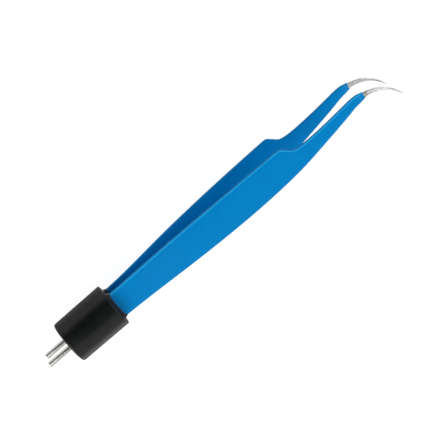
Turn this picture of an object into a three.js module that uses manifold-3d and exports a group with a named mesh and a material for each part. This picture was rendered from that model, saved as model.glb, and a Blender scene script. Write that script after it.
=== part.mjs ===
// Bipolar precision tweezers: two insulated steel spring arms with curved fine tips, held in a round
// connector cap that carries two contact pins.
//
// Sizes are in millimetres. While the pieces are built, X runs along the cap's axis from the cap's front
// face towards the tips, Y points to the edge that has the shoulder, and Z parts the two arms. At the end
// the whole assembly is moved so that its origin is at the middle of its base.

import * as THREE from "three";
import { mergeVertices } from "three/addons/utils/BufferGeometryUtils.js";
import Module from "manifold-3d";

const wasm = await Module();
wasm.setup();

// ---- driving dimensions --------------------------------------------------------------------------------

const CAP_LENGTH = 16;
const CAP_REAR_RADIUS = 6.38;
const CAP_FRONT_RADIUS = 6.5;
const CAP_BORE_RADIUS = 5.25;
const CAP_REAR_WALL = 2.6;
const CAP_REAR_ROUND = 0.6;
const CAP_RIM_ROUND = 0.2;
const CAP_FLOOR = CAP_REAR_WALL - CAP_LENGTH; // the inner face of the rear wall

const PIN_RADIUS = 0.8;
const PIN_OFFSET = 3.2; // from the cap's axis to each pin's axis
const PIN_EXPOSED = 7.45;
const PIN_HOLE_CLEARANCE = 0.03;
const PIN_CHAMFER = 0.2;
const PIN_INNER_END = -6.6;
const PIN_COLLAR_RADIUS = 1.25;
const PIN_COLLAR_LENGTH = 0.9;
const SEAT_GAP = 0.05; // between pieces that bear on each other inside the cap
const OVERRUN = 1; // how far a cut runs past the face that it opens

const STEEL_THICKNESS = 0.7;
const COAT_THICKNESS = 0.35;
const COAT_END_THICKNESS = 0.15; // the coating thins out where it ends on the blade
const STEEL_EDGE_RADIUS = 0.12;
const COAT_EDGE_RADIUS = 0.45;
const COAT_CLEARANCE = 0.03;

const ROOT_SPREAD = 2.32; // from the middle plane to an arm's mid-thickness, at the cap's front face
const ROOT_SLOPE = 0.03; // how fast the arms part as they leave the cap
const ROOT_STRAIGHT = 18; // and how long that lasts
const TANG_SLOPE = 0.05; // the tangs draw together towards their tails
const BOW_SPREAD = 5.3; // this and BOW_PLACE pull the arms apart in a bow
const BOW_PLACE = 21;
const TIP_SPREAD = 6.8;
const SPREAD_END = 62; // ahead of here the arms run parallel

const SHOULDER_TOP = 59.2; // the shoulder starts to round off here
const SHOULDER_CORNER = 61.2;
const SHOULDER_FOOT = 63.2;
const NECK_START = 69.5;
const PLAIN_EDGE_TURN = 69; // the plain edge's long flank ends here
const NECK_END = 83.5; // the curved tip starts here
const NECK_END_MIDDLE = 1.25;
const NECK_END_HALF_WIDTH = 1.02;
const NECK_END_HALF_COATED = NECK_END_HALF_WIDTH + COAT_THICKNESS;
const POINT_HALF_WIDTH = 0.08;
const POINT_THICKNESS = 0.3;
const TIP_TAPER_POWER = 0.85;
const COATED_TIP_SHARE = 0.255; // the part of the curved tip's length that is still coated

const FLEX_GAP_START = 1.3; // the fixed tang ends here
const FLEX_GAP_END = 1.6; // and the moving arm begins here

const TANG_HALF_WIDTH = 3.5;
const TANG_TAIL_HALF_WIDTH = 1.2;
const TANG_TAPER_START = -4.4;
const TANG_TAPER_END = -7;
const TANG_TAIL_END = -11;

const SPACER_LENGTH = 5.6;
const SPACER_FRONT = -1;
const SPACER_HALF_WIDTH = 3;
const SPACER_HALF_HEIGHT = 1.55;

const FERRULE_REAR = -10.7;
const FERRULE_LENGTH = 3.4;
const FERRULE_HALF_WIDTH = 1.65;
const FERRULE_LOW = 1.05;
const FERRULE_HIGH = 4.4;
const FERRULE_WALL = 0.3;
const FERRULE_CORNER = 0.6;

const POTTING_RADIUS = CAP_BORE_RADIUS - SEAT_GAP;
const POTTING_RISE = 0.95; // how far the filler stands out of the cap's mouth at its middle
const POTTING_EDGE_DROP = 0.1;
const POTTING_CROWN = 0.7; // the share of its radius where the dome begins to fall away
const POTTING_GAP = 0.1; // around every piece that is cast in

const CAP_SIDES = 48;
const PIN_SIDES = 24;

// ---- helpers -------------------------------------------------------------------------------------------

function solidOf(geometry) {
  const bare = new THREE.BufferGeometry();
  bare.setAttribute("position", geometry.getAttribute("position"));
  if (geometry.index) bare.setIndex(geometry.index);
  const merged = mergeVertices(bare, 1e-4);
  const triVerts = new Uint32Array(merged.index.array);
  const vertProperties = merged.attributes.position.array;
  return new wasm.Manifold(new wasm.Mesh({ numProp: 3, vertProperties, triVerts }));
}

function geometryOf(solid) {
  const mesh = solid.getMesh();
  const geometry = new THREE.BufferGeometry();
  geometry.setAttribute("position", new THREE.BufferAttribute(mesh.vertProperties, 3));
  geometry.setIndex(new THREE.BufferAttribute(mesh.triVerts, 1));
  return withNormals(geometry);
}

function withNormals(geometry) {
  const flat = geometry.toNonIndexed();
  flat.computeVertexNormals();
  return flat;
}

// A turned piece on the X axis, from pairs of [position along X, radius].
function turned(profile, sides) {
  const points = profile.map(([x, radius]) => new THREE.Vector2(radius, x));
  return new THREE.LatheGeometry(points, sides).rotateZ(-Math.PI / 2);
}

// Points of a quarter round from one profile point to the next, bulging towards the corner between them.
function quarterRound([x0, r0], [x1, r1], corner, steps = 5) {
  const curve = new THREE.QuadraticBezierCurve(
    new THREE.Vector2(x0, r0),
    new THREE.Vector2(...corner),
    new THREE.Vector2(x1, r1),
  );
  return curve.getPoints(steps).map((p) => [p.x, p.y]);
}

// A closed ring of 12 points: a rectangle with rounded corners, three points to a corner.
function section(halfWidth, halfThickness, radius) {
  const round = Math.min(radius, 0.8 * halfWidth, 0.8 * halfThickness);
  const points = [];
  for (let corner = 0; corner < 4; corner++) {
    const start = (corner * Math.PI) / 2;
    const sideW = corner === 0 || corner === 3 ? 1 : -1;
    const sideT = corner < 2 ? 1 : -1;
    for (let step = 0; step < 3; step++) {
      const angle = start + (step * Math.PI) / 4;
      points.push([
        sideW * (halfWidth - round) + round * Math.cos(angle),
        sideT * (halfThickness - round) + round * Math.sin(angle),
      ]);
    }
  }
  return points;
}

// Adds the band of triangles between two rings of the same length to a list of corners.
function addBand(corners, near, far) {
  near.forEach((point, i) => {
    const next = (i + 1) % near.length;
    corners.push(point, near[next], far[next], point, far[next], far[i]);
  });
}

function addFan(corners, ring) {
  for (let i = 1; i < ring.length - 1; i++) corners.push(ring[0], ring[i], ring[i + 1]);
}

function geometryFrom(corners) {
  const geometry = new THREE.BufferGeometry().setFromPoints(corners);
  geometry.computeVertexNormals();
  return geometry;
}

// A solid bar through a row of rings.
function barThrough(rings) {
  const corners = [];
  for (let i = 1; i < rings.length; i++) addBand(corners, rings[i - 1], rings[i]);
  addFan(corners, [...rings[0]].reverse());
  addFan(corners, rings.at(-1));
  return geometryFrom(corners);
}

// A tube, open at both ends, between two rows of rings.
function tubeBetween(outer, inner) {
  const corners = [];
  for (let i = 1; i < outer.length; i++) {
    addBand(corners, outer[i - 1], outer[i]);
    addBand(corners, inner[i], inner[i - 1]);
  }
  addBand(corners, inner[0], outer[0]);
  addBand(corners, outer.at(-1), inner.at(-1));
  return geometryFrom(corners);
}

function named(name, geometry, color, roughness, metalness) {
  const mesh = new THREE.Mesh(geometry, new THREE.MeshStandardMaterial({ color, roughness, metalness }));
  mesh.name = name;
  return mesh;
}

// ---- the arm's shape -----------------------------------------------------------------------------------

// The coated arm's two edges, seen square to its broad face, from the cap to the start of the curved tip.
function shoulderEdge() {
  const edge = new THREE.Path();
  edge.moveTo(0, 3.92);
  edge.bezierCurveTo(15, 3.95, 15, 5.2, SHOULDER_TOP, 5.17); // long flank
  edge.bezierCurveTo(60.2, 5.17, 60.8, 5.15, SHOULDER_CORNER, 4.75); // rounded shoulder
  edge.lineTo(SHOULDER_FOOT, 2.75);
  edge.bezierCurveTo(63.8, 2.15, 65.6, 1.83, NECK_START, 1.87); // foot of the shoulder
  edge.bezierCurveTo(75, 1.95, 79, 2.3, NECK_END, NECK_END_MIDDLE + NECK_END_HALF_COATED);
  return edge.getPoints(24);
}

function plainEdge() {
  const edge = new THREE.Path();
  edge.moveTo(0, -3.87);
  edge.bezierCurveTo(29, -4.45, 52, -5.32, PLAIN_EDGE_TURN, -2.55); // long flank
  edge.bezierCurveTo(74, -1.8, 79.5, -1, NECK_END, NECK_END_MIDDLE - NECK_END_HALF_COATED);
  return edge.getPoints(48);
}

// How far the arm's mid-thickness stands from the middle plane.
function spreadCurve() {
  const curve = new THREE.CubicBezierCurve(
    new THREE.Vector2(0, ROOT_SPREAD),
    new THREE.Vector2(ROOT_STRAIGHT, ROOT_SPREAD + ROOT_STRAIGHT * ROOT_SLOPE),
    new THREE.Vector2(BOW_PLACE, BOW_SPREAD),
    new THREE.Vector2(SPREAD_END, TIP_SPREAD),
  );
  return curve.getPoints(80);
}

const shoulderPoints = shoulderEdge();
const plainPoints = plainEdge();
const spreadPoints = spreadCurve();

function heightAt(points, x) {
  const next = points.findIndex((p) => p.x >= x);
  if (next === -1) return points.at(-1).y;
  if (next === 0) return points[0].y;
  const [a, b] = [points[next - 1], points[next]];
  return THREE.MathUtils.mapLinear(x, a.x, b.x, a.y, b.y);
}

function spreadAt(x) {
  return x < 0 ? ROOT_SPREAD + TANG_SLOPE * x : heightAt(spreadPoints, x);
}

const tipCurve = new THREE.CubicBezierCurve(
  new THREE.Vector2(NECK_END, NECK_END_MIDDLE),
  new THREE.Vector2(89.2, 1.7),
  new THREE.Vector2(94.1, -0.15),
  new THREE.Vector2(96.3, -5.95),
);

// Places a section across the arm: `across` is the direction of its width in the arm's own plane.
function ringAt(centre, across, points) {
  return points.map(([w, t]) => {
    const x = centre.x + w * across.x;
    return new THREE.Vector3(x, centre.y + w * across.y, spreadAt(x) + t);
  });
}

function evenSteps(from, to, count) {
  return Array.from({ length: count }, (_, i) => from + ((to - from) * i) / count);
}

// Stations along the straight part of the arm, closest together at the shoulder.
const bodyStations = [
  ...evenSteps(FLEX_GAP_END, SHOULDER_TOP, 18),
  ...evenSteps(SHOULDER_TOP, SHOULDER_CORNER, 6),
  ...evenSteps(SHOULDER_CORNER, SHOULDER_FOOT, 2),
  ...evenSteps(SHOULDER_FOOT, NECK_START, 6),
  ...evenSteps(NECK_START, NECK_END, 5),
];

// One ring for each station; `cover` is what lies over the steel, and can be a coating or a clearance.
function bodyRings(cover, radius) {
  return bodyStations.map((x) => {
    const high = heightAt(shoulderPoints, x) - COAT_THICKNESS + cover;
    const low = heightAt(plainPoints, x) + COAT_THICKNESS - cover;
    const points = section((high - low) / 2, STEEL_THICKNESS / 2 + cover, radius);
    return ringAt(new THREE.Vector2(x, (high + low) / 2), new THREE.Vector2(0, 1), points);
  });
}

function tipRing(share, cover, radius) {
  const left = 1 - share;
  const width = POINT_HALF_WIDTH + (NECK_END_HALF_WIDTH - POINT_HALF_WIDTH) * left ** TIP_TAPER_POWER;
  const thickness = POINT_THICKNESS + (STEEL_THICKNESS - POINT_THICKNESS) * left;
  const along = tipCurve.getTangentAt(share);
  const points = section(width + cover, thickness / 2 + cover, radius);
  return ringAt(tipCurve.getPointAt(share), new THREE.Vector2(-along.y, along.x), points);
}

function tipRings(to, count, coverAt, radius) {
  const shares = [...evenSteps(0, to, count), to];
  return shares.map((share) => tipRing(share, coverAt(share), radius));
}

// ---- pieces --------------------------------------------------------------------------------------------

function bladeGeometry() {
  const tip = tipRings(1, 18, () => 0, STEEL_EDGE_RADIUS);
  return barThrough([...bodyRings(0, STEEL_EDGE_RADIUS), ...tip]);
}

function coatingGeometry() {
  const thinning = (share) => {
    const nearEnd = THREE.MathUtils.smoothstep(share, COATED_TIP_SHARE / 2, COATED_TIP_SHARE);
    return THREE.MathUtils.lerp(COAT_THICKNESS, COAT_END_THICKNESS, nearEnd);
  };
  const outerTip = tipRings(COATED_TIP_SHARE, 5, thinning, COAT_EDGE_RADIUS);
  const innerTip = tipRings(COATED_TIP_SHARE, 5, () => COAT_CLEARANCE, STEEL_EDGE_RADIUS);
  return tubeBetween(
    [...bodyRings(COAT_THICKNESS, COAT_EDGE_RADIUS), ...outerTip],
    [...bodyRings(COAT_CLEARANCE, STEEL_EDGE_RADIUS), ...innerTip],
  );
}

// The blade's rear end: full width at the cap's mouth, then tapered to a narrow tail.
function tangGeometry(gap = 0) {
  const outline = [
    [TANG_TAIL_END - gap, TANG_TAIL_HALF_WIDTH],
    [TANG_TAPER_END, TANG_TAIL_HALF_WIDTH],
    [TANG_TAPER_START, TANG_HALF_WIDTH],
    [FLEX_GAP_START + (gap ? OVERRUN : 0), TANG_HALF_WIDTH], // its pocket runs out of the potting's front
  ];
  const rings = outline.map(([x, halfWidth]) => {
    const points = section(halfWidth + gap, STEEL_THICKNESS / 2 + gap, STEEL_EDGE_RADIUS);
    return ringAt(new THREE.Vector2(x, 0), new THREE.Vector2(0, 1), points);
  });
  return barThrough(rings);
}

// A round pin with a collar that bears on the inside of the cap's rear wall.
function pinGeometry(gap = 0) {
  const end = -CAP_LENGTH - PIN_EXPOSED;
  const collarRear = CAP_FLOOR + SEAT_GAP;
  const collarFront = collarRear + PIN_COLLAR_LENGTH;
  const radius = PIN_RADIUS + gap;
  const profile = [
    [end, 0],
    [end, radius - PIN_CHAMFER],
    [end + PIN_CHAMFER, radius],
    [collarRear - gap, radius],
    [collarRear - gap, PIN_COLLAR_RADIUS + gap],
    [collarFront + gap, PIN_COLLAR_RADIUS + gap],
    [collarFront + gap, radius],
    [PIN_INNER_END + gap, radius],
    [PIN_INNER_END + gap, 0],
  ];
  return turned(profile, PIN_SIDES).translate(0, 0, PIN_OFFSET);
}

function roundedRectangle(low, high, halfWidth, corner) {
  const outline = new THREE.Shape();
  const [left, right] = [low + corner, high - corner];
  const side = halfWidth - corner;
  outline.absarc(right, side, corner, 0, Math.PI / 2);
  outline.absarc(left, side, corner, Math.PI / 2, Math.PI);
  outline.absarc(left, -side, corner, Math.PI, 1.5 * Math.PI);
  outline.absarc(right, -side, corner, 1.5 * Math.PI, 2 * Math.PI);
  return outline;
}

// Extrudes an outline drawn with Z to its right and Y up along X, starting at `rear`.
function alongX(outline, rear, length) {
  const options = { depth: length, bevelEnabled: false, curveSegments: 4 };
  return new THREE.ExtrudeGeometry(outline, options).rotateY(-Math.PI / 2).translate(rear + length, 0, 0);
}

function ferruleGeometry() {
  const outline = roundedRectangle(FERRULE_LOW, FERRULE_HIGH, FERRULE_HALF_WIDTH, FERRULE_CORNER);
  const inner = FERRULE_CORNER - FERRULE_WALL;
  const low = FERRULE_LOW + FERRULE_WALL;
  const high = FERRULE_HIGH - FERRULE_WALL;
  outline.holes.push(roundedRectangle(low, high, FERRULE_HALF_WIDTH - FERRULE_WALL, inner));
  return alongX(outline, FERRULE_REAR, FERRULE_LENGTH);
}

function ferrulePocket(gap) {
  const halfWidth = FERRULE_HALF_WIDTH + gap;
  const outline = roundedRectangle(FERRULE_LOW - gap, FERRULE_HIGH + gap, halfWidth, FERRULE_CORNER);
  return alongX(outline, FERRULE_REAR - gap, FERRULE_LENGTH + 2 * gap);
}

function spacerGeometry(gap = 0) {
  const sides = [SPACER_LENGTH, 2 * SPACER_HALF_WIDTH, 2 * SPACER_HALF_HEIGHT];
  const block = new THREE.BoxGeometry(...sides.map((side) => side + 2 * gap));
  return block.translate(SPACER_FRONT - SPACER_LENGTH / 2, 0, 0);
}

// A bar that cuts the hole for a pin through the cap's rear wall.
function pinHole() {
  const radius = PIN_RADIUS + PIN_HOLE_CLEARANCE;
  const [rear, front] = [-CAP_LENGTH - OVERRUN, CAP_FLOOR + OVERRUN];
  const profile = [
    [rear, 0],
    [rear, radius],
    [front, radius],
    [front, 0],
  ];
  return turned(profile, PIN_SIDES);
}

// A cup with a rounded rear edge, a crisp rim and two holes through its rear wall.
function capGeometry() {
  const rearEdge = quarterRound(
    [-CAP_LENGTH, CAP_REAR_RADIUS - CAP_REAR_ROUND],
    [CAP_REAR_ROUND - CAP_LENGTH, CAP_REAR_RADIUS],
    [-CAP_LENGTH, CAP_REAR_RADIUS],
  );
  const rim = quarterRound(
    [-CAP_RIM_ROUND, CAP_FRONT_RADIUS],
    [0, CAP_FRONT_RADIUS - CAP_RIM_ROUND],
    [0, CAP_FRONT_RADIUS],
    2,
  );
  const profile = [
    [-CAP_LENGTH, 0],
    ...rearEdge,
    ...rim,
    [0, CAP_BORE_RADIUS],
    [CAP_FLOOR, CAP_BORE_RADIUS],
    [CAP_FLOOR, 0],
  ];
  const upperHole = solidOf(pinHole().translate(0, 0, PIN_OFFSET));
  const lowerHole = solidOf(pinHole().translate(0, 0, -PIN_OFFSET));
  return geometryOf(solidOf(turned(profile, CAP_SIDES)).subtract(upperHole).subtract(lowerHole));
}

// Cast filler: a plug in the cap's bore with a domed front, with a pocket for every piece cast into it.
function pottingGeometry() {
  const rear = CAP_FLOOR + SEAT_GAP;
  const crown = [POTTING_RISE, POTTING_CROWN * POTTING_RADIUS];
  const dome = quarterRound([-POTTING_EDGE_DROP, POTTING_RADIUS], [POTTING_RISE, 0], crown);
  const plug = solidOf(turned([[rear, 0], [rear, POTTING_RADIUS], ...dome], CAP_SIDES));
  const oneSide = [tangGeometry(POTTING_GAP), pinGeometry(POTTING_GAP), ferrulePocket(POTTING_GAP)];
  const otherSide = oneSide.map((pocket) => pocket.clone().rotateX(Math.PI));
  const pockets = [...oneSide, ...otherSide, spacerGeometry(POTTING_GAP)].map(solidOf);
  return geometryOf(pockets.reduce((left, pocket) => left.subtract(pocket), plug));
}

// ---- assembly ------------------------------------------------------------------------------------------

const BLACK_MOULDING = 0x1b1b1c;
const BLACK_FILLER = 0x101011;
const BLUE_COATING = 0x0a86cf;
const STEEL = 0xb9b9b4;
const PLATED = 0xc9c7c0;
const BRASS = 0xb08d4a;
const TAN_LAMINATE = 0x9a7b4f;

// The pieces of one arm and its contact, for the side where Z is positive.
function armSide(side) {
  const group = new THREE.Group();
  group.add(
    named(`${side}_blade`, bladeGeometry(), STEEL, 0.3, 1),
    named(`${side}_coating`, coatingGeometry(), BLUE_COATING, 0.35, 0),
    named(`${side}_tang`, tangGeometry(), STEEL, 0.4, 1),
    named(`${side}_pin`, pinGeometry(), PLATED, 0.25, 1),
    named(`${side}_ferrule`, ferruleGeometry(), BRASS, 0.4, 1),
  );
  return group;
}

const upperSide = armSide("upper");
const lowerSide = armSide("lower");
lowerSide.scale.z = -1;

const tweezers = new THREE.Group();
tweezers.add(
  named("connector_cap", capGeometry(), BLACK_MOULDING, 0.45, 0),
  named("potting", pottingGeometry(), BLACK_FILLER, 0.15, 0),
  named("tang_spacer", spacerGeometry(), TAN_LAMINATE, 0.6, 0),
  upperSide,
  lowerSide,
);

const bounds = new THREE.Box3().setFromObject(tweezers, true);
const middle = bounds.getCenter(new THREE.Vector3());
tweezers.position.set(-middle.x, -middle.y, -bounds.min.z);

export default tweezers;
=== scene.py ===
import math

import bmesh
import bpy
import numpy as np
from mathutils import Matrix, Vector


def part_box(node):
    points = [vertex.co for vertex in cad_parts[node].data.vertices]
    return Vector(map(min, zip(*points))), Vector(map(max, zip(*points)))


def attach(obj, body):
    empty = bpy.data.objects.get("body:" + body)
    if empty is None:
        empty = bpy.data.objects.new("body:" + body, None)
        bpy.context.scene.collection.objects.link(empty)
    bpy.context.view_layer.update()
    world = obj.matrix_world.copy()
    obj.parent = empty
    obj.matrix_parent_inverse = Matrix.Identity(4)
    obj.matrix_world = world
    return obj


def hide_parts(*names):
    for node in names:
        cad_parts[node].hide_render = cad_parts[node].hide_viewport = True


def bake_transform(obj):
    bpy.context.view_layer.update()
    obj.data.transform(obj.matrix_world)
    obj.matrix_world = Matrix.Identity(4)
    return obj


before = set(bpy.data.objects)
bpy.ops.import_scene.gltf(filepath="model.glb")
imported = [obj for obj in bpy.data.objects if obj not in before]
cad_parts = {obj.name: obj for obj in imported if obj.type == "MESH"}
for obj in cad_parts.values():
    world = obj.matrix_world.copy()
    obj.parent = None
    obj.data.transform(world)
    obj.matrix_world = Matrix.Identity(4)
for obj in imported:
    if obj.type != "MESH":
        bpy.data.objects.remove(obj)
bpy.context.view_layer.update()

# Shapes are given in millimetres in the tool's own directions, as the CAD model is: X from the cap's front
# face towards the tips, Y towards the edge with the shoulder, Z parting the arms. place() puts them in the
# frame, from where the CAD cap is.

MM = 0.001
CAP_LOW, CAP_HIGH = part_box("connector_cap")
CAP_FRONT_X = CAP_HIGH.x
AXIS_Z = (CAP_LOW.z + CAP_HIGH.z) / 2
CAP_LENGTH = (CAP_HIGH.x - CAP_LOW.x) / MM
SIDES = {"upper": 1, "lower": -1}

# ---- camera --------------------------------------------------------------------------------------------

CAMERA_LENS = 138
CAMERA_DISTANCE = 447
CAMERA_TILT = math.radians(20)  # how far the view leans from square to the arms, towards their +Y edge
AIM_X = 36.67  # the camera looks at this point ahead of the cap's front face
AIM_SIDE = -0.41  # and this far to the side of the cap's axis, towards the top of the picture
AXIS_ACROSS, AXIS_UP = 0.757, 0.653  # the cap's axis in the picture, towards the tips


def place(points, side=1):
    """Rows of (x, y, z) in millimetres as rows in metres in the frame.

    Side -1 mirrors them for the lower arm.
    """
    points = np.asarray(points, float)
    out = points * [MM, MM, MM * side]
    return out + [CAP_FRONT_X, 0, AXIS_Z]


def make_camera():
    toward = Vector((0, math.sin(CAMERA_TILT), math.cos(CAMERA_TILT)))
    side = Vector((0, -math.cos(CAMERA_TILT), math.sin(CAMERA_TILT)))
    along = Vector((1, 0, 0))
    right = AXIS_ACROSS * along + AXIS_UP * side
    up = AXIS_UP * along - AXIS_ACROSS * side
    aim = Vector(place([AIM_X, 0, 0])) + side * AIM_SIDE * MM
    data = bpy.data.cameras.new("camera")
    data.lens = CAMERA_LENS
    camera = bpy.data.objects.new("camera", data)
    bpy.context.scene.collection.objects.link(camera)
    turn = Matrix((right.normalized(), up.normalized(), toward)).transposed().to_4x4()
    camera.matrix_world = Matrix.Translation(aim + toward * CAMERA_DISTANCE * MM) @ turn
    bpy.context.scene.camera = camera


make_camera()

# ---- the arm's shape, as in the CAD model --------------------------------------------------------------

STEEL_THICKNESS = 0.7
COAT_THICKNESS = 0.35
COAT_CLEARANCE = 0.03

ROOT_SPREAD = 2.32
ROOT_SLOPE = 0.03
ROOT_STRAIGHT = 18
TANG_SLOPE = 0.05
BOW_SPREAD = 5.3
BOW_PLACE = 21
TIP_SPREAD = 6.8
SPREAD_END = 62

SHOULDER_TOP = 59.2
SHOULDER_CORNER = 61.2
SHOULDER_FOOT = 63.2
NECK_START = 69.5
PLAIN_EDGE_TURN = 69
NECK_END = 83.5
NECK_END_MIDDLE = 1.25
NECK_END_HALF_WIDTH = 1.02
NECK_END_HALF_COATED = NECK_END_HALF_WIDTH + COAT_THICKNESS
POINT_HALF_WIDTH = 0.08
POINT_THICKNESS = 0.3
TIP_TAPER_POWER = 0.85
COATED_TIP_SHARE = 0.255

TANG_HALF_WIDTH = 3.5
TANG_TAIL_HALF_WIDTH = 1.2
TANG_TAPER_START = -4.4
TANG_TAPER_END = -7
TANG_TAIL_END = -11

HINGE_X = 1.45


def cubic(p0, p1, p2, p3, count):
    t = np.linspace(0, 1, count)[:, None]
    p0, p1, p2, p3 = (np.array(p, float) for p in (p0, p1, p2, p3))
    return (1 - t) ** 3 * p0 + 3 * (1 - t) ** 2 * t * p1 + 3 * (1 - t) * t**2 * p2 + t**3 * p3


def smoothstep(value, low, high):
    t = np.clip((value - low) / (high - low), 0, 1)
    return t * t * (3 - 2 * t)


NECK_END_HIGH = (NECK_END, NECK_END_MIDDLE + NECK_END_HALF_COATED)
NECK_END_LOW = (NECK_END, NECK_END_MIDDLE - NECK_END_HALF_COATED)
SHOULDER_EDGE = np.vstack([
    cubic((0, 3.92), (15, 3.95), (15, 5.2), (SHOULDER_TOP, 5.17), 200),
    cubic((SHOULDER_TOP, 5.17), (60.2, 5.17), (60.8, 5.15), (SHOULDER_CORNER, 4.75), 40)[1:],
    cubic((SHOULDER_FOOT, 2.75), (63.8, 2.15), (65.6, 1.83), (NECK_START, 1.87), 60),
    cubic((NECK_START, 1.87), (75, 1.95), (79, 2.3), NECK_END_HIGH, 80)[1:],
])
PLAIN_TURN = (PLAIN_EDGE_TURN, -2.55)
PLAIN_EDGE = np.vstack([
    cubic((0, -3.87), (29, -4.45), (52, -5.32), PLAIN_TURN, 300),
    cubic(PLAIN_TURN, (74, -1.8), (79.5, -1), NECK_END_LOW, 80)[1:],
])
ROOT_END = (ROOT_STRAIGHT, ROOT_SPREAD + ROOT_STRAIGHT * ROOT_SLOPE)
SPREAD = cubic((0, ROOT_SPREAD), ROOT_END, (BOW_PLACE, BOW_SPREAD), (SPREAD_END, TIP_SPREAD), 400)
TIP_LINE = cubic((NECK_END, NECK_END_MIDDLE), (89.2, 1.7), (94.1, -0.15), (96.3, -5.95), 2000)
TIP_STEPS = np.linalg.norm(np.diff(TIP_LINE, axis=0), axis=1)
TIP_LENGTH = TIP_STEPS.sum()
TIP_SHARES = np.concatenate([[0], np.cumsum(TIP_STEPS)]) / TIP_LENGTH
CORNER_STEPS = 6  # of each rounded corner of a section
CORNER_LIMIT = 0.8  # the most of a section's half size that a corner's radius can take up
FACE_POINTS = 7  # along each broad face of a section

# The tip's outer face is ground: from its inside curve outwards a bevel, a narrow flank that faces the other
# way, a long facet and a chamfer, as shares of the half width and of the half thickness.
GRIND_PLACES = (-1, -0.42, -0.18, 0.68, 1)
GRIND_DEPTHS = (0.8, 0.2, 0.44, 0.1, 0.5)


def spread_at(x):
    """How far the arm's mid-thickness stands from the middle plane."""
    return np.where(x < 0, ROOT_SPREAD + TANG_SLOPE * x, np.interp(x, *SPREAD.T))


def tip_at(share):
    """Point and direction of the curved tip's centre line, at a share of its length."""
    x, y = (np.interp(share, TIP_SHARES, TIP_LINE[:, i]) for i in (0, 1))
    index = min(np.searchsorted(TIP_SHARES, share), len(TIP_STEPS)) - 1
    step = TIP_LINE[max(index, 0) + 1] - TIP_LINE[max(index, 0)]
    return np.array([x, y]), step / np.linalg.norm(step)


def section(half_width, half_thickness, radius, crown=0.0, inner_radius=None, across=FACE_POINTS):
    """A closed ring of (width, thickness) points: a rectangle with rounded corners and crowned faces.

    Thickness is positive towards the arm's outer face. The inner face's corners can have a radius of
    their own, and `across` is the number of points between the corners of a broad face.
    """
    corners = []
    for corner in range(4):
        side_w = 1 if corner in (0, 3) else -1
        side_t = 1 if corner < 2 else -1
        wanted = inner_radius if inner_radius and side_t < 0 else radius
        r = min(wanted, CORNER_LIMIT * half_width, CORNER_LIMIT * half_thickness)
        angles = (corner + np.linspace(0, 1, CORNER_STEPS + 1)) * math.pi / 2
        centre = np.array([side_w * (half_width - r), side_t * (half_thickness - r)])
        corners.append(centre + r * np.column_stack([np.cos(angles), np.sin(angles)]))
    ring = []
    for corner, points in enumerate(corners):
        following = corners[(corner + 1) % 4][0]
        between = across if corner % 2 == 0 else 1
        ring += [points, np.linspace(points[-1], following, between + 2)[1:-1]]
    ring = np.vstack(ring)
    ring[:, 1] *= 1 - crown * (ring[:, 0] / half_width) ** 2 / half_thickness
    return ring


def ring_across(centre, across, points):
    """The section's points set across the arm; `across` is the direction of its width."""
    x = centre[0] + points[:, 0] * across[0]
    y = centre[1] + points[:, 0] * across[1]
    return np.column_stack([x, y, spread_at(x) + points[:, 1]])


def body_ring(x, cover, **shape):
    """A ring across the straight part of the arm, `cover` millimetres outside its steel."""
    high = np.interp(x, *SHOULDER_EDGE.T) - COAT_THICKNESS + cover
    low = np.interp(x, *PLAIN_EDGE.T) + COAT_THICKNESS - cover
    points = section((high - low) / 2, STEEL_THICKNESS / 2 + cover, **shape)
    return ring_across((x, (high + low) / 2), (0, 1), points)


def tip_sizes(share):
    left = 1 - share
    width = POINT_HALF_WIDTH + (NECK_END_HALF_WIDTH - POINT_HALF_WIDTH) * left**TIP_TAPER_POWER
    thickness = POINT_THICKNESS + (STEEL_THICKNESS - POINT_THICKNESS) * left
    return width, thickness / 2


def tip_ring(share, cover, scale=1.0, ground=0.0, **shape):
    """A ring across the curved tip; `ground` is how far the grinding of its outer face has gone."""
    centre, along = tip_at(share)
    width, thickness = tip_sizes(share)
    half_width, half_thickness = (width + cover) * scale, (thickness + cover) * scale
    points = section(half_width, half_thickness, **shape)
    outer = np.clip(points[:, 1] / half_thickness, 0, 1)
    depth = np.interp(points[:, 0] / half_width, GRIND_PLACES, GRIND_DEPTHS)
    points[:, 1] -= ground * outer * depth * half_thickness
    return ring_across(centre, (-along[1], along[0]), points)


# ---- mesh helpers --------------------------------------------------------------------------------------

SHARP_ANGLE = math.radians(40)
MERGE_DISTANCE = 1e-7
DEGENERATE_LENGTH = 1e-8


def mesh_object(name, vertices, faces):
    mesh = bpy.data.meshes.new(name)
    mesh.from_pydata([tuple(v) for v in vertices], [], faces)
    piece = bpy.data.objects.new(name, mesh)
    bpy.context.scene.collection.objects.link(piece)
    tidy_mesh(piece)
    return piece


def tidy_mesh(piece):
    """Merges doubled vertices, splits many-sided faces and turns all faces outwards.

    It then shades the mesh smooth up to SHARP_ANGLE.
    """
    bm = bmesh.new()
    bm.from_mesh(piece.data)
    bmesh.ops.remove_doubles(bm, verts=bm.verts, dist=MERGE_DISTANCE)
    bmesh.ops.dissolve_degenerate(bm, edges=bm.edges, dist=DEGENERATE_LENGTH)
    bmesh.ops.triangulate(bm, faces=[face for face in bm.faces if len(face.verts) > 4])
    bmesh.ops.recalc_face_normals(bm, faces=bm.faces)
    bm.to_mesh(piece.data)
    bm.free()
    piece.data.shade_smooth()
    piece.data.set_sharp_from_angle(angle=SHARP_ANGLE)


def band_faces(rows, count, closed_rows=False):
    """Quads of a grid of rings: ring i, point j is vertex i * count + j."""
    faces = []
    for i in range(rows if closed_rows else rows - 1):
        for j in range(count):
            a, b = i * count, (i + 1) % rows * count
            k = (j + 1) % count
            faces.append((a + j, a + k, b + k, b + j))
    return faces


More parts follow.
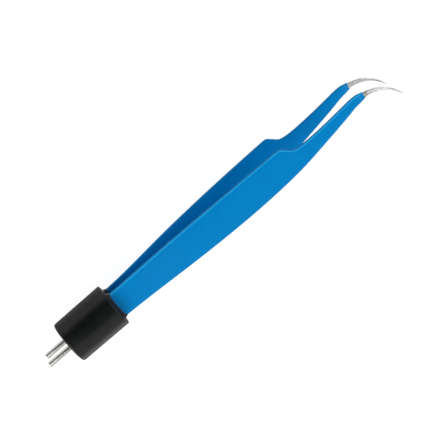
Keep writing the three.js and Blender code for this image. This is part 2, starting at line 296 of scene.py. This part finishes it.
def bar_object(name, rings, side):
    """A solid bar through a row of rings."""
    rings = np.array(rings)
    rows, count, _ = rings.shape
    vertices = place(rings.reshape(-1, 3), side)
    faces = band_faces(rows, count)
    faces.append(tuple(range(count))[::-1])
    faces.append(tuple(range((rows - 1) * count, rows * count)))
    return mesh_object(name, vertices, faces)


def tube_object(name, outer, inner, side):
    """A tube with walls between two rows of rings, closed over at both ends."""
    rings = np.array(list(outer) + list(inner)[::-1])
    rows, count, _ = rings.shape
    vertices = place(rings.reshape(-1, 3), side)
    return mesh_object(name, vertices, band_faces(rows, count, closed_rows=True))


def turned_object(name, profile, steps, centre_z=0.0, side=1):
    """A solid of revolution about a line along X; the profile's rows are (x, radius), from axis to axis."""
    angles = np.arange(steps) * 2 * math.pi / steps
    rings = [
        np.column_stack([np.full(steps, x), r * np.cos(angles), centre_z + r * np.sin(angles)])
        for x, r in profile
    ]
    vertices = place(np.array(rings).reshape(-1, 3), side)
    return mesh_object(name, vertices, band_faces(len(profile), steps))


def arc(centre, radius, start, end, steps):
    """Profile points (x, radius) round a centre, with angles in degrees from the X direction."""
    angles = np.radians(np.linspace(start, end, steps + 1))
    return [(centre[0] + radius * math.cos(a), centre[1] + radius * math.sin(a)) for a in angles]


def cut(piece, cutters):
    """Cuts solids out of a piece, and removes them."""
    for cutter in cutters:
        modifier = piece.modifiers.new("cut", "BOOLEAN")
        modifier.operation = "DIFFERENCE"
        modifier.solver = "EXACT"
        modifier.object = cutter
    graph = bpy.context.evaluated_depsgraph_get()
    made = bpy.data.meshes.new_from_object(piece.evaluated_get(graph))
    piece.modifiers.clear()
    piece.data = made
    for cutter in cutters:
        bpy.data.objects.remove(cutter)
    tidy_mesh(piece)


# ---- materials -----------------------------------------------------------------------------------------

GRAIN = 1 / MM  # texture scale of one cycle to the millimetre
NOISE_ROUGHNESS = 0.55
EVEN = (0.3, 0.7)  # the part of a noise's range that spreads it evenly from none to all


class Look:
    """A new material and short ways to add the nodes that its surface is made from."""

    def __init__(self, name):
        self.material = bpy.data.materials.new(name)
        self.material.use_nodes = True
        self.nodes = self.material.node_tree.nodes
        self.links = self.material.node_tree.links
        self.shader = self.nodes["Principled BSDF"]
        self.place = self.nodes.new("ShaderNodeTexCoord").outputs["Object"]
        self.bumps = None

    def set(self, **values):
        for name, value in values.items():
            self.shader.inputs[name.replace("_", " ")].default_value = value

    def stretched(self, scale):
        node = self.nodes.new("ShaderNodeMapping")
        node.inputs["Scale"].default_value = scale
        self.links.new(self.place, node.inputs["Vector"])
        return node.outputs["Vector"]

    def noise(self, cycles_per_mm, detail, stretch=None):
        node = self.nodes.new("ShaderNodeTexNoise")
        node.inputs["Scale"].default_value = cycles_per_mm * GRAIN
        node.inputs["Detail"].default_value = detail
        node.inputs["Roughness"].default_value = NOISE_ROUGHNESS
        self.links.new(self.stretched(stretch) if stretch else self.place, node.inputs["Vector"])
        return node.outputs["Fac"]

    def ramp(self, value, low, high, out_low, out_high):
        node = self.nodes.new("ShaderNodeMapRange")
        settings = {"From Min": low, "From Max": high, "To Min": out_low, "To Max": out_high}
        for name, setting in settings.items():
            node.inputs[name].default_value = setting
        self.links.new(value, node.inputs["Value"])
        return node.outputs["Result"]

    def part(self, vector, axis):
        node = self.nodes.new("ShaderNodeSeparateXYZ")
        self.links.new(vector, node.inputs["Vector"])
        return node.outputs[axis]

    def normal(self, axis):
        return self.part(self.nodes.new("ShaderNodeNewGeometry").outputs["Normal"], axis)

    def turned_away(self, start, end):
        """0 on faces square to Z, rising to 1 on those that stand on edge; the limits are cosines."""
        return self.ramp(self.maths("ABSOLUTE", self.normal("Z"), 0), start, end, 0, 1)

    def outward(self):
        """1 on an arm's outer face, -1 on its inner face, and between them round its edges."""
        side = self.maths("SIGN", self.maths("SUBTRACT", self.part(self.place, "Z"), AXIS_Z), 0)
        return self.maths("MULTIPLY", self.normal("Z"), side)

    def nearness(self, x, y, near, far):
        """1 within `near` millimetres of a line along Z, falling to 0 at `far`; x and y are in the frame."""
        aside = self.maths("SUBTRACT", self.part(self.place, "X"), x)
        up = self.maths("SUBTRACT", self.part(self.place, "Y"), y)
        squares = self.maths("ADD", self.maths("MULTIPLY", aside, aside), self.maths("MULTIPLY", up, up))
        return self.ramp(self.maths("SQRT", squares, 0), near * MM, far * MM, 1, 0)

    def maths(self, operation, a, b):
        node = self.nodes.new("ShaderNodeMath")
        node.operation = operation
        for slot, value in enumerate((a, b)):
            if isinstance(value, (int, float)):
                node.inputs[slot].default_value = value
            else:
                self.links.new(value, node.inputs[slot])
        return node.outputs["Value"]

    def mix(self, factor, a, b):
        node = self.nodes.new("ShaderNodeMix")
        node.data_type = "RGBA"
        self.links.new(factor, node.inputs["Factor"])
        for name, value in (("A", a), ("B", b)):
            socket = next(s for s in node.inputs if s.name == name and s.type == "RGBA")
            if isinstance(value, tuple):
                socket.default_value = (*value, 1)
            else:
                self.links.new(value, socket)
        return next(s for s in node.outputs if s.type == "RGBA")

    def colour(self, value):
        self.links.new(value, self.shader.inputs["Base Color"])

    def roughness(self, value):
        self.links.new(value, self.shader.inputs["Roughness"])

    def bump(self, height, depth_mm, strength):
        node = self.nodes.new("ShaderNodeBump")
        node.inputs["Distance"].default_value = depth_mm * MM
        node.inputs["Strength"].default_value = strength
        self.links.new(height, node.inputs["Height"])
        if self.bumps:
            self.links.new(self.bumps, node.inputs["Normal"])
        self.bumps = node.outputs["Normal"]
        self.links.new(self.bumps, self.shader.inputs["Normal"])


COATING_DEEP, COATING_LIGHT = (0.0, 0.213, 0.548), (0.0, 0.229, 0.585)
COATING_SPECK = (0.0, 0.18, 0.49)
COATING_EDGE_PAINTED_SHADE = (0.0, 0.17, 0.42)  # painted shade on the arm's narrow edges
COATING_CORNER_PAINTED_HIGHLIGHT = (0.02, 0.43, 0.88)  # a painted highlight along the outer corner on the shoulder's side
ON_EDGE = (0.6, 0.2)  # cosines between which a face counts as one of the narrow edges
EDGE_EXTRA_ROUGHNESS = 0.5


def blue_coating():
    """Sprayed and fused polyamide: satin, faintly mottled, with a soft orange-peel surface.

    It is painted lighter along the outer corner on the shoulder's side, a painted highlight, and painted
    darker on the arm's narrow edges, a painted shade.
    """
    look = Look("blue_coating")
    look.set(Specular_IOR_Level=0.09, IOR=1.5)
    mottle = look.ramp(look.noise(0.18, 4), *EVEN, 0, 1)
    colour = look.mix(mottle, COATING_DEEP, COATING_LIGHT)
    specks = look.ramp(look.noise(3.2, 2), 0.62, 0.8, 0, 0.35)
    colour = look.mix(specks, colour, COATING_SPECK)
    edge = look.turned_away(*ON_EDGE)
    # Painted shade: the arm's narrow edges are coloured darker.
    colour = look.mix(edge, colour, COATING_EDGE_PAINTED_SHADE)
    outward = look.outward()
    past_edge = look.ramp(outward, 0.45, 0.6, 0, 1)
    short_of_face = look.ramp(outward, 0.985, 0.93, 0, 1)
    corner = look.maths("MULTIPLY", past_edge, short_of_face)
    # Painted highlight: the outer corner on the shoulder's side is coloured lighter, in patches.
    highlight_corner = look.maths("MULTIPLY", corner, look.ramp(look.normal("Y"), 0.15, 0.35, 0, 1))
    patchy_highlight_corner = look.maths("MULTIPLY", highlight_corner, look.ramp(look.noise(0.4, 3), 0.3, 0.6, 0.7, 1))
    look.colour(look.mix(patchy_highlight_corner, colour, COATING_CORNER_PAINTED_HIGHLIGHT))
    satin = look.ramp(look.noise(0.5, 4), *EVEN, 0.2, 0.28)
    look.roughness(look.maths("ADD", satin, look.maths("MULTIPLY", edge, EDGE_EXTRA_ROUGHNESS)))
    look.bump(look.noise(1.1, 2), 0.012, 0.5)
    look.bump(look.noise(5, 2), 0.003, 0.5)
    return look.material


# Distances in millimetres, the first two pairs from the coating's end and the last from the tip's point.
HIGHLIGHT_NEAR, HIGHLIGHT_FAR = 3.6, 6.6  # how far the painted highlight on the outer face reaches
TINT_NEAR, TINT_FAR = 0.8, 1.6  # and a dark brown band on the outer face, just past the coating's end
DULL_NEAR, DULL_FAR = 3.0, 5.5  # the point itself is duller, and the blade's narrow edges are darker
TINT_ASIDE = 0.5  # the dark band is strongest this far towards the tip's outside curve

STEEL_PLAIN = (0.78, 0.78, 0.75), (0.86, 0.855, 0.835)
STEEL_PAINTED_HIGHLIGHT = (0.93, 0.92, 0.90), (0.98, 0.97, 0.95)
STEEL_DULL = (0.52, 0.515, 0.50)
STEEL_EDGE = (0.42, 0.415, 0.40)
STEEL_TINT = (0.13, 0.105, 0.06)


def blade_steel():
    """Stainless steel, ground to a fine satin, with a painted highlight on its outer face near the coating's
    end, and a dark brown band where the coating ends.
    """
    look = Look("blade_steel")
    look.set(Metallic=1.0)
    patch = look.ramp(look.noise(0.5, 3), *EVEN, 0, 1)
    plain = look.mix(patch, *STEEL_PLAIN)
    # Painted highlight: the steel is coloured brighter on its outer face near the coating's end.
    highlight_steel = look.mix(patch, *STEEL_PAINTED_HIGHLIGHT)
    outside = look.ramp(look.outward(), 0.2, 0.6, 0, 1)
    x, y, _ = place([*tip_at(COATED_TIP_SHARE)[0], 0])
    highlight_mask = look.maths("MULTIPLY", look.nearness(x, y, HIGHLIGHT_NEAR, HIGHLIGHT_FAR), outside)
    steel = look.mix(highlight_mask, plain, highlight_steel)
    point_x, point_y, _ = place([*tip_at(1)[0], 0])
    steel = look.mix(look.nearness(point_x, point_y, DULL_NEAR, DULL_FAR), steel, STEEL_DULL)
    steel = look.mix(look.turned_away(*ON_EDGE), steel, STEEL_EDGE)
    # A dark brown band on the outer face, just past the coating's end.
    tint = look.maths("MULTIPLY", look.nearness(x, y + TINT_ASIDE * MM, TINT_NEAR, TINT_FAR), outside)
    tint = look.maths("MULTIPLY", tint, look.ramp(look.noise(1.1, 3), 0.35, 0.6, 0.6, 1))
    look.colour(look.mix(tint, steel, STEEL_TINT))
    grain = look.noise(9, 4, stretch=(0.08, 1, 1))
    look.roughness(look.ramp(grain, 0.25, 0.75, 0.24, 0.34))
    look.bump(grain, 0.002, 0.6)
    return look.material


def pin_plating():
    """Turned pins with a thin bright plating and fine marks round them."""
    look = Look("pin_plating")
    look.set(Metallic=1.0)
    patch = look.ramp(look.noise(0.8, 3), *EVEN, 0, 1)
    look.colour(look.mix(patch, (0.50, 0.495, 0.475), (0.59, 0.58, 0.56)))
    turning = look.noise(14, 2, stretch=(1, 0.04, 0.04))
    look.roughness(look.ramp(turning, *EVEN, 0.26, 0.36))
    look.bump(turning, 0.0015, 0.6)
    return look.material


CAP_FLANK = (0.75, 0.45)  # cosines between which the cap's round wall counts as its sides
CAP_FLANK_EXTRA_ROUGHNESS = 0.4


def cap_moulding():
    """Black moulded cap: a fine satin texture with faint handling marks, duller on its sides."""
    look = Look("cap_moulding")
    look.set(Specular_IOR_Level=0.35, IOR=1.5)
    haze = look.ramp(look.noise(0.25, 5), 0.35, 0.7, 0, 1)
    look.colour(look.mix(haze, (0.003, 0.0036, 0.0038), (0.006, 0.0068, 0.007)))
    satin = look.ramp(look.noise(0.6, 5), *EVEN, 0.26, 0.34)
    flank = look.turned_away(*CAP_FLANK)
    look.roughness(look.maths("ADD", satin, look.maths("MULTIPLY", flank, CAP_FLANK_EXTRA_ROUGHNESS)))
    look.bump(look.noise(7, 3), 0.006, 0.5)
    return look.material


def potting_resin():
    """Cast black resin, dull where dust has settled on it and glossy in between."""
    look = Look("potting_resin")
    look.set(Specular_IOR_Level=0.2, IOR=1.5)
    haze = look.ramp(look.noise(0.7, 3), *EVEN, 0, 1)
    look.colour(look.mix(haze, (0.006, 0.006, 0.007), (0.014, 0.014, 0.015)))
    look.roughness(look.ramp(look.noise(0.9, 3), 0.42, 0.6, 0.2, 0.5))
    look.bump(look.noise(0.9, 2), 0.03, 0.4)
    return look.material


def ferrule_brass():
    """Plain crimped brass, dulled in patches."""
    look = Look("ferrule_brass")
    look.set(Metallic=1.0)
    dull = look.ramp(look.noise(0.9, 4), 0.35, 0.7, 0, 1)
    look.colour(look.mix(dull, (0.62, 0.46, 0.20), (0.42, 0.29, 0.12)))
    look.roughness(look.ramp(dull, 0, 1, 0.28, 0.5))
    look.bump(look.noise(3, 3), 0.01, 0.5)
    return look.material


def spacer_laminate():
    """Phenolic laminate: brown, with the layers' fine lines along its edges."""
    look = Look("spacer_laminate")
    layers = look.ramp(look.noise(3, 2, stretch=(0.1, 0.1, 1)), 0.35, 0.65, 0, 1)
    look.colour(look.mix(layers, (0.30, 0.17, 0.07), (0.40, 0.25, 0.12)))
    look.roughness(look.ramp(look.noise(1, 3), *EVEN, 0.5, 0.65))
    look.bump(layers, 0.01, 0.4)
    return look.material


LOOKS = {
    "coating_blue": blue_coating(),
    "blade_steel": blade_steel(),
    "pin_plated": pin_plating(),
    "cap_black": cap_moulding(),
    "potting_black": potting_resin(),
    "ferrule_brass": ferrule_brass(),
    "spacer_laminate": spacer_laminate(),
}


def finish_piece(piece, slot, *nodes):
    """Gives a piece the material of a slot, and hides the CAD nodes that it stands for."""
    piece.data.materials.clear()
    piece.data.materials.append(LOOKS[slot])
    if nodes:
        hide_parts(*nodes)


# ---- blades --------------------------------------------------------------------------------------------

STEEL_SHAPE = {"radius": 0.12, "across": 25}
POINT_SHAPE = {"radius": 0.16, "across": 25, "crown": 0.02}
POINT_DOME = 0.012  # the share of the tip's length over which its end is rounded off
GRIND_RUN_IN = 0.05  # the share of the tip's length over which the grinding reaches its full depth
TANG_JOIN = 0.5  # millimetres between the last ring of the tang and the first of the arm
TANG_RINGS = 18
TIP_RINGS = 110
DOME_RINGS = 5

# Where the rings of the arm are closest together, and how far apart they are before, in and after it.
SHOULDER_FROM, SHOULDER_TO = 58, 70
FLANK_STEP, SHOULDER_STEP, NECK_STEP = 1.0, 0.25, 0.9


def tang_ring(x):
    """A ring across the part of the blade that is cast into the cap."""
    stretch = smoothstep(x, TANG_TAPER_END, TANG_TAPER_START)
    half_width = TANG_TAIL_HALF_WIDTH + (TANG_HALF_WIDTH - TANG_TAIL_HALF_WIDTH) * stretch
    points = section(half_width, STEEL_THICKNESS / 2, **STEEL_SHAPE)
    return ring_across((x, 0), (0, 1), points)


def body_stations(start):
    """Places along the straight part of the arm, closest together at the shoulder."""
    return np.concatenate([
        np.arange(start, SHOULDER_FROM, FLANK_STEP),
        np.arange(SHOULDER_FROM, SHOULDER_TO, SHOULDER_STEP),
        np.arange(SHOULDER_TO, NECK_END, NECK_STEP),
    ])


def point_ring(share, scale=1.0):
    ground = smoothstep(share, COATED_TIP_SHARE, COATED_TIP_SHARE + GRIND_RUN_IN)
    return tip_ring(share, 0, scale, ground, **POINT_SHAPE)


def make_blade(name, side):
    rings = [tang_ring(x) for x in np.linspace(TANG_TAIL_END, HINGE_X - TANG_JOIN, TANG_RINGS)]
    rings += [body_ring(x, 0, **STEEL_SHAPE) for x in body_stations(HINGE_X)]
    rings += [point_ring(share) for share in np.linspace(0, 1 - POINT_DOME, TIP_RINGS)]
    for turn in np.linspace(0, math.pi / 2, DOME_RINGS + 2)[1:-1]:
        rings.append(point_ring(1 - POINT_DOME * (1 - math.sin(turn)), math.cos(turn)))
    blade = bar_object(f"{name}_blade_strip", rings, side)
    finish_piece(blade, "blade_steel", f"{name}_blade", f"{name}_tang")
    return blade


# ---- coatings ------------------------------------------------------------------------------------------

COAT_ROOT = -2.4  # the coating starts inside the potting
COAT_SHAPE = {"radius": 0.55, "inner_radius": 0.25, "crown": 0.03}
BORE_SHAPE = {"radius": 0.12}  # the coating's inside, against the steel
COAT_END_THICKNESS = 0.15
COAT_THIN_START = 0.5  # on the tip; from here to its end the coating gets thinner
COAT_LIP = 0.06  # the coating's edge is a slight bead
COAT_LIP_PLACE = 0.97
COAT_LIP_WIDTH = 0.02
COAT_ROUND = 0.985  # from here to its end the coating's edge rounds over
COAT_END_WAVER = 0.1
COAT_WAVER_START = 0.7
COAT_WAVES = ((1, 1, 0.6), (2, 0.45, 2.0), (3, 0.3, 0))  # cycles round the blade, strength, phase
COAT_TIP_STEPS = np.concatenate([np.linspace(0, 0.9, 10), np.linspace(0.92, COAT_ROUND, 8)])
COAT_ROUND_RINGS = 5


def coat_cover(progress):
    """The coating's thickness on the tip: progress is 0 at the tip's start and 1 at the coating's end."""
    thinning = smoothstep(progress, COAT_THIN_START, 1)
    thick = COAT_THICKNESS + (COAT_END_THICKNESS - COAT_THICKNESS) * thinning
    lip = COAT_LIP * math.exp(-(((progress - COAT_LIP_PLACE) / COAT_LIP_WIDTH) ** 2))
    return thick + lip


def waver_end(ring, progress, along):
    """Moves the rings near the coating's end along the blade a little, unevenly round the blade."""
    angle = np.linspace(0, 2 * math.pi, len(ring), endpoint=False)
    amount = sum(strength * np.sin(cycles * angle + phase) for cycles, strength, phase in COAT_WAVES)
    shift = COAT_END_WAVER * smoothstep(progress, COAT_WAVER_START, 1) * amount
    return ring + shift[:, None] * np.array([along[0], along[1], 0])


def make_coating(name, side):
    outer = [body_ring(x, COAT_THICKNESS, **COAT_SHAPE) for x in body_stations(COAT_ROOT)]
    inner = [body_ring(x, COAT_CLEARANCE, **BORE_SHAPE) for x in body_stations(COAT_ROOT)]
    for progress in COAT_TIP_STEPS:
        share = progress * COATED_TIP_SHARE
        _, along = tip_at(share)
        outer.append(waver_end(tip_ring(share, coat_cover(progress), **COAT_SHAPE), progress, along))
        inner.append(waver_end(tip_ring(share, COAT_CLEARANCE, **BORE_SHAPE), progress, along))
    for turn in np.linspace(0, math.pi / 2, COAT_ROUND_RINGS + 1)[1:]:
        progress = COAT_ROUND + (1 - COAT_ROUND) * math.sin(turn)
        share = progress * COATED_TIP_SHARE
        _, along = tip_at(share)
        cover = COAT_CLEARANCE + (coat_cover(progress) - COAT_CLEARANCE) * math.cos(turn)
        outer.append(waver_end(tip_ring(share, cover, **COAT_SHAPE), progress, along))
    coating = tube_object(f"{name}_coating_sleeve", outer, inner, side)
    finish_piece(coating, "coating_blue", f"{name}_coating")
    return coating


# ---- cap, pins and potting -----------------------------------------------------------------------------

CAP_REAR_RADIUS = 6.38
CAP_FRONT_RADIUS = 6.5
CAP_BORE_RADIUS = 5.25
CAP_REAR_WALL = 2.6
CAP_REAR_ROUND = 0.55
CAP_RIM_ROUND = 0.18
CAP_STEPS = 180

# The mark that the moulding's gate leaves in the middle of the cap's rear face: a dimple with a stub in it.
GATE_RADIUS = 0.85
GATE_STUB_RADIUS = 0.35
GATE_DEPTH = 0.2
GATE_SLOPE = 0.08
GATE_BORDER = 0.3  # from the mark to the first ring of the plain rear face
REAR_FACE_RINGS = 7

PIN_RADIUS = 0.8
PIN_OFFSET = 3.2
PIN_EXPOSED = 7.45
PIN_CHAMFER = 0.2
PIN_INNER_END = -6.6
PIN_COLLAR_RADIUS = 1.25
PIN_COLLAR_LENGTH = 0.9
PIN_COLLAR_GAP = 0.05  # between the collar and the cap's rear wall
PIN_SOFTNESS = 0.05  # how far the pin's corners are rounded off
PIN_HOLE_RADIUS = 0.83
PIN_HOLE_BEVEL = 0.15
PIN_STEPS = 64

CAP_REAR = -CAP_LENGTH
CAP_FLOOR = CAP_REAR + CAP_REAR_WALL
CUT_OVERRUN = 1  # how far a cutter reaches past what it cuts


def quarter_round(x, radius, size, start, steps):
    """An arc of 90 degrees that turns clockwise from the angle `start`."""
    return arc((x, radius), size, start, start - 90, steps)


def make_cap():
    rear_edge = CAP_REAR_RADIUS - CAP_REAR_ROUND
    rim, bore = CAP_FRONT_RADIUS - CAP_RIM_ROUND, CAP_BORE_RADIUS + CAP_RIM_ROUND
    rear_round = quarter_round(CAP_REAR + CAP_REAR_ROUND, rear_edge, CAP_REAR_ROUND, 180, 10)
    rim_round = quarter_round(-CAP_RIM_ROUND, rim, CAP_RIM_ROUND, 90, 5)
    bore_round = quarter_round(-CAP_RIM_ROUND, bore, CAP_RIM_ROUND, 360, 5)
    gate = [
        (CAP_REAR + GATE_DEPTH / 2, 0),
        (CAP_REAR + GATE_DEPTH / 2, GATE_STUB_RADIUS),
        (CAP_REAR + GATE_DEPTH, GATE_STUB_RADIUS + GATE_SLOPE),
        (CAP_REAR + GATE_DEPTH, GATE_RADIUS),
        (CAP_REAR, GATE_RADIUS + GATE_SLOPE),
    ]
    radii = np.linspace(GATE_RADIUS + GATE_BORDER, rear_edge, REAR_FACE_RINGS + 1)[:-1]
    rear = [(CAP_REAR, radius) for radius in radii]
    floor = [(CAP_FLOOR, CAP_BORE_RADIUS), (CAP_FLOOR, 0)]
    profile = gate + rear + rear_round + rim_round + bore_round + floor
    cap = turned_object("connector_cap_shell", profile, CAP_STEPS)
    mouth = PIN_HOLE_RADIUS + PIN_HOLE_BEVEL
    hole = [
        (CAP_REAR - CUT_OVERRUN, 0),
        (CAP_REAR - CUT_OVERRUN, mouth),
        (CAP_REAR, mouth),
        (CAP_REAR + PIN_HOLE_BEVEL, PIN_HOLE_RADIUS),
        (CAP_FLOOR + CUT_OVERRUN, PIN_HOLE_RADIUS),
        (CAP_FLOOR + CUT_OVERRUN, 0),
    ]
    cutters = []
    for name, side in SIDES.items():
        cutters.append(turned_object(f"{name}_hole_cutter", hole, PIN_STEPS, PIN_OFFSET, side))
    cut(cap, cutters)
    finish_piece(cap, "cap_black", "connector_cap")
    return cap


def make_pin(name, side):
    end = CAP_REAR - PIN_EXPOSED
    collar_rear = CAP_FLOOR + PIN_COLLAR_GAP
    collar_front = collar_rear + PIN_COLLAR_LENGTH
    soft = PIN_SOFTNESS
    profile = [
        (end, 0),
        (end, PIN_RADIUS - PIN_CHAMFER - soft),
        (end + soft / 3, PIN_RADIUS - PIN_CHAMFER),
        (end + PIN_CHAMFER, PIN_RADIUS - soft / 3),
        (end + PIN_CHAMFER + soft, PIN_RADIUS),
        (collar_rear, PIN_RADIUS),
        (collar_rear, PIN_COLLAR_RADIUS - soft),
        (collar_rear + soft, PIN_COLLAR_RADIUS),
        (collar_front - soft, PIN_COLLAR_RADIUS),
        (collar_front, PIN_COLLAR_RADIUS - soft),
        (collar_front, PIN_RADIUS),
        (PIN_INNER_END, PIN_RADIUS),
        (PIN_INNER_END, 0),
    ]
    pin = turned_object(f"{name}_contact_pin", profile, PIN_STEPS, PIN_OFFSET, side)
    finish_piece(pin, "pin_plated", f"{name}_pin")
    return pin


POTTING_CLEARANCE = 0.02
POTTING_RADIUS = CAP_BORE_RADIUS - POTTING_CLEARANCE
POTTING_DEPTH = 3.2
POTTING_LEVEL = 0.12
POTTING_CLIMB_FACE = 0.8  # how high the filler climbs an arm's broad face
POTTING_CLIMB_EDGE = 1.25  # and its narrow edge
POTTING_CLIMB_WIDTH = 0.5
POTTING_CLIMB_AT_BORE = 0.3  # the share of the climb that is left at the bore
POTTING_CORNER_FROM, POTTING_CORNER_TO = 2.4, 3.9  # y between which the face's climb becomes the edge's
POTTING_SETTLE_FROM = 0.9  # the share of the radius from where the surface settles to the bore
POTTING_RIPPLE = 0.05
RIPPLE_Y, RIPPLE_Y_PHASE = 1.7, 0.8
RIPPLE_Z, RIPPLE_Z_PHASE = 1.3, -0.5
ARM_ROOT_X = 0.6
ARM_ROOT_HALF_WIDTH = 3.88
SLOT_CLEARANCE = 0.01
SLOT_REAR = COAT_ROOT - 0.3
SLOT_FRONT = HINGE_X + 2
SLOT_RINGS = 6
POTTING_RINGS = 96
POTTING_STEPS = 192


def distance_to_arm(y, z):
    """Distance in the cap's front plane from a point to the nearest coated arm."""
    middle = float(spread_at(np.array(ARM_ROOT_X)))
    half_thickness = STEEL_THICKNESS / 2 + COAT_THICKNESS
    out_y = np.maximum(np.abs(y) - ARM_ROOT_HALF_WIDTH, 0)
    out_z = np.maximum(np.abs(np.abs(z) - middle) - half_thickness, 0)
    return np.hypot(out_y, out_z)


def potting_height(y, z):
    """The filler's cast surface: nearly level with the rim at the bore, and climbing each arm in a fillet."""
    radius = np.hypot(y, z) / POTTING_RADIUS
    corner = smoothstep(np.abs(y), POTTING_CORNER_FROM, POTTING_CORNER_TO)
    full_climb = POTTING_CLIMB_FACE + (POTTING_CLIMB_EDGE - POTTING_CLIMB_FACE) * corner
    climb = full_climb * np.exp(-distance_to_arm(y, z) / POTTING_CLIMB_WIDTH)
    ripple_y = np.sin(RIPPLE_Y * y + RIPPLE_Y_PHASE)
    ripple_z = np.cos(RIPPLE_Z * z + RIPPLE_Z_PHASE)
    inside = 1 - smoothstep(radius, POTTING_SETTLE_FROM, 1)
    kept = POTTING_CLIMB_AT_BORE + (1 - POTTING_CLIMB_AT_BORE) * inside
    return POTTING_LEVEL + POTTING_RIPPLE * ripple_y * ripple_z * inside + climb * kept


def make_potting():
    angles = np.arange(POTTING_STEPS) * 2 * math.pi / POTTING_STEPS
    rings = []
    for share in np.linspace(0, 1, POTTING_RINGS):
        y = POTTING_RADIUS * share * np.cos(angles)
        z = POTTING_RADIUS * share * np.sin(angles)
        rings.append(np.column_stack([potting_height(y, z), y, z]))
    rim = rings[-1].copy()
    for share in (1, 0):
        rings.append(rim * [0, share, share] - [POTTING_DEPTH, 0, 0])
    vertices = place(np.array(rings).reshape(-1, 3))
    potting = mesh_object("potting_meniscus", vertices, band_faces(len(rings), POTTING_STEPS))
    stations = np.linspace(SLOT_REAR, SLOT_FRONT, SLOT_RINGS)
    rings = [body_ring(x, COAT_THICKNESS + SLOT_CLEARANCE, **COAT_SHAPE) for x in stations]
    slots = [bar_object(f"{name}_slot_cutter", rings, side) for name, side in SIDES.items()]
    cut(potting, slots)
    finish_piece(potting, "potting_black", "potting")
    return potting


# ---- assembly ------------------------------------------------------------------------------------------

for name, side in SIDES.items():
    for piece in (make_blade(name, side), make_coating(name, side)):
        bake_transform(piece)
    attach(make_pin(name, side), "connector")
    finish_piece(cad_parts[f"{name}_ferrule"], "ferrule_brass")

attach(make_cap(), "connector")
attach(make_potting(), "connector")
finish_piece(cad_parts["tang_spacer"], "spacer_laminate")

# ---- studio --------------------------------------------------------------------------------------------

FLOOR_SIZE = 6.0
FLOOR_COLOUR = (0.16, 0.16, 0.16)
FLOOR_TOOTH = 0.985  # the darker patches of the paper's fine texture, against the rest
SKY_PATCH_TILT = math.radians(25)
SKY_PATCH_INNER = math.radians(36)
SKY_PATCH_OUTER = math.radians(56)
FLOOR_GLOW = 0.93  # the floor is a light table, lit evenly from below
SKY_BRIGHT, SKY_DARK = 0.7, 0.05
SOFTBOX_DISTANCE = 0.9
SOFTBOX_SIZE = 0.7
SOFTBOX_WATTS = 4.2
SOFTBOXES = {"tip_softbox": (0.72, -0.12, 0.68), "cap_softbox": (-0.72, -0.12, 0.68)}


def make_floor():
    half = FLOOR_SIZE / 2
    corners = [(-half, -half, 0), (half, -half, 0), (half, half, 0), (-half, half, 0)]
    floor = mesh_object("floor", corners, [(0, 1, 2, 3)])
    look = Look("floor_paper")
    look.set(Roughness=0.9, Specular_IOR_Level=0.1, Emission_Color=(1, 1, 1, 1), Emission_Strength=FLOOR_GLOW)
    tooth = look.ramp(look.noise(0.02, 2), *EVEN, 0, 1)
    look.colour(look.mix(tooth, FLOOR_COLOUR, tuple(FLOOR_TOOTH * c for c in FLOOR_COLOUR)))
    floor.data.materials.append(look.material)


def make_softbox(name, toward):
    """A softbox that hangs in the direction `toward` from the tool and faces it."""
    away = Vector(toward).normalized()
    data = bpy.data.lights.new(name, "AREA")
    data.shape = "RECTANGLE"
    data.size = data.size_y = SOFTBOX_SIZE
    data.energy = SOFTBOX_WATTS
    lamp = bpy.data.objects.new(name, data)
    bpy.context.scene.collection.objects.link(lamp)
    lamp.rotation_mode = "QUATERNION"
    lamp.rotation_quaternion = away.to_track_quat("Z", "Y")
    lamp.location = away * SOFTBOX_DISTANCE


def make_sky():
    """Even light all round, with a soft dark patch overhead, so that the upper faces stay clear of glare."""
    world = bpy.data.worlds.new("studio")
    bpy.context.scene.world = world
    world.use_nodes = True
    nodes, links = world.node_tree.nodes, world.node_tree.links
    direction = nodes.new("ShaderNodeTexCoord").outputs["Generated"]
    toward = nodes.new("ShaderNodeVectorMath")
    toward.operation = "DOT_PRODUCT"
    toward.inputs[1].default_value = (0, math.sin(SKY_PATCH_TILT), math.cos(SKY_PATCH_TILT))
    links.new(direction, toward.inputs[0])
    fade = nodes.new("ShaderNodeMapRange")
    fade.interpolation_type = "SMOOTHSTEP"
    fade.inputs["From Min"].default_value = math.cos(SKY_PATCH_OUTER)
    fade.inputs["From Max"].default_value = math.cos(SKY_PATCH_INNER)
    fade.inputs["To Min"].default_value = SKY_BRIGHT
    fade.inputs["To Max"].default_value = SKY_DARK
    links.new(toward.outputs["Value"], fade.inputs["Value"])
    links.new(fade.outputs["Result"], nodes["Background"].inputs["Strength"])
    nodes["Background"].inputs["Color"].default_value = (1, 1, 1, 1)


make_floor()
make_sky()
for name, toward in SOFTBOXES.items():
    make_softbox(name, toward)
bpy.context.scene.view_settings.view_transform = "Standard"
